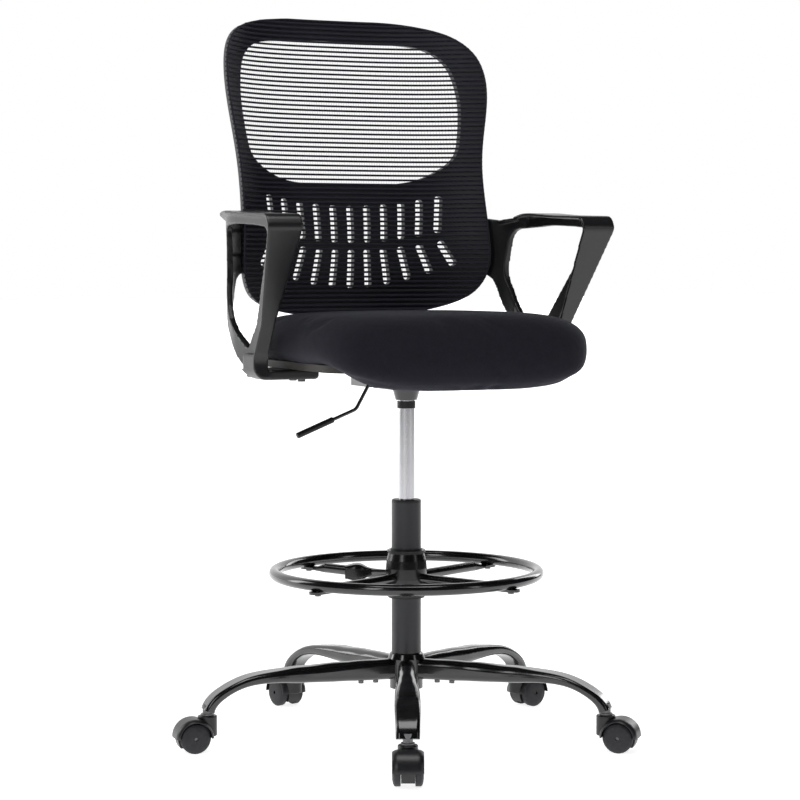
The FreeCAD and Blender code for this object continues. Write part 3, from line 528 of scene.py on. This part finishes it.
def make_back_mesh():
    """Thick ribs across the back, knitted together by fine upright threads, over the whole frame."""
    bpy.context.view_layer.update()
    width_at = half_width("back_mesh")
    face_at = front_face("back_mesh")
    low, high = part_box("back_mesh")
    points = []
    faces = []
    rows = []
    for index in range(int((high.z - low.z - RIB_MARGIN) / RIB_PITCH) + 1):
        height = low.z + RIB_FIRST + index * RIB_PITCH
        half = width_at(height)
        line = rib_line(height, half, face_at) if half > SHORTEST_RIB else None
        if line is not None:
            rows.append((height, half))
            tube(line, RIB_HALF_HEIGHT, RIB_HALF_DEPTH, 8, points, faces, Vector((0, 0, 1)))
    hem = hem_line(low, high, width_at, face_at)
    tube(hem, HEM_RADIUS, HEM_RADIUS, 8, points, faces, Vector((0, 1, 0)))
    number = int(high.x / THREAD_PITCH)
    for step in range(-number, number + 1):
        x = (step + 0.5) * THREAD_PITCH
        reached = [(height, face_at(x, height)) for height, half in rows if abs(x) < half - THREAD_INSET]
        line = [Vector((x, y + LIFT, height)) for height, y in reached if y is not None]
        if len(line) > 3:
            tube(line, THREAD_RADIUS, THREAD_RADIUS, 4, points, faces, Vector((1, 0, 0)))
    knit = mesh_object("back_mesh_knit", points, faces, "back_fabric")
    dress(knit, "seat", "back_fabric", "back_mesh")


make_back_mesh()


# ------------------------------------------------------------ stage, light and camera

def emitter(name, colour, strength):
    """A matt surface of the studio that also glows white."""
    material = bpy.data.materials.new(name)
    material.use_nodes = True
    shader = material.node_tree.nodes["Principled BSDF"]
    shader.inputs["Base Color"].default_value = (*colour, 1)
    shader.inputs["Roughness"].default_value = 0.9
    shader.inputs["Specular IOR Level"].default_value = 0.0
    shader.inputs["Emission Color"].default_value = (1, 1, 1, 1)
    shader.inputs["Emission Strength"].default_value = strength
    return material


def plane(name, corners, material):
    """One flat rectangle of the studio."""
    mesh = bpy.data.meshes.new(name)
    mesh.from_pydata(corners, [], [(0, 1, 2, 3)])
    obj = bpy.data.objects.new(name, mesh)
    bpy.context.scene.collection.objects.link(obj)
    mesh.materials.append(material)
    return obj


floor_corners = [(-40, -40, 0), (40, -40, 0), (40, 40, 0), (-40, 40, 0)]
plane("floor", floor_corners, emitter("floor_white", (0.92, 0.92, 0.92), 0.74))


def area_light(name, place, target, size, power):
    """A white softbox that looks at a target."""
    data = bpy.data.lights.new(name, "AREA")
    data.shape = "RECTANGLE"
    data.size, data.size_y = size
    data.energy = power
    obj = bpy.data.objects.new(name, data)
    obj.location = place
    obj.rotation_euler = (Vector(target) - Vector(place)).to_track_quat("-Z", "Y").to_euler()
    bpy.context.scene.collection.objects.link(obj)


area_light("top_softbox", (-0.3, -0.6, 3.2), (0, 0, 0.7), (2.0, 1.6), 34.0)
area_light("key_softbox", (-3.2, -2.4, 2.0), (0, 0, 0.7), (0.9, 2.2), 22.0)
area_light("fill_softbox", (2.3, -3.4, 1.6), (0, 0, 0.7), (0.6, 2.0), 7.0)
area_light("rim_left", (-2.6, 2.2, 1.7), (0, 0, 0.8), (0.8, 2.2), 22.0)
area_light("rim_right", (3.1, 1.6, 1.6), (0, 0, 0.8), (0.8, 2.2), 18.0)


def black_flag(name, corners):
    """A black cloth on a stand beside the chair, which keeps the white studio out of its gloss."""
    obj = plane(name, corners, emitter(name + "_cloth", (0.004, 0.004, 0.004), 0.0))
    obj.visible_camera = False


black_flag("flag_front", [(-9, -7, 0.02), (9, -7, 0.02), (9, -7, 7), (-9, -7, 7)])
black_flag("flag_left", [(-7, -7, 0.02), (-7, 5, 0.02), (-7, 5, 7), (-7, -7, 7)])
black_flag("flag_right", [(7, -7, 0.02), (7, 5, 0.02), (7, 5, 7), (7, -7, 7)])
black_flag("flag_top", [(-7, -7, 6), (7, -7, 6), (7, 6, 6), (-7, 6, 6)])

world = bpy.data.worlds.new("studio")
bpy.context.scene.world = world
world.use_nodes = True
world.node_tree.nodes["Background"].inputs["Color"].default_value = (1, 1, 1, 1)
world.node_tree.nodes["Background"].inputs["Strength"].default_value = 0.9

camera_data = bpy.data.cameras.new("camera")
camera = bpy.data.objects.new("camera", camera_data)
bpy.context.scene.collection.objects.link(camera)
bpy.context.scene.camera = camera
turn = math.radians(-25.0)     # round the column, from straight in front towards the sitter's right
dip = 0.0602                   # radians under the horizontal
distance = 4.0                 # level, from the column
height = 0.8185
away = Vector((-math.sin(turn) * math.cos(dip), math.cos(turn) * math.cos(dip), -math.sin(dip)))
camera.location = (distance * math.sin(turn), -distance * math.cos(turn), height)
camera.rotation_mode = "QUATERNION"
camera.rotation_quaternion = away.to_track_quat("-Z", "Y")
camera_data.sensor_width = 36.0
camera_data.lens = 106.5
camera_data.shift_x = -0.0079
camera_data.clip_start = 0.1
camera_data.clip_end = 60.0

scene = bpy.context.scene
scene.view_settings.view_transform = "Standard"
scene.view_settings.look = "None"
scene.view_settings.exposure = 0.15
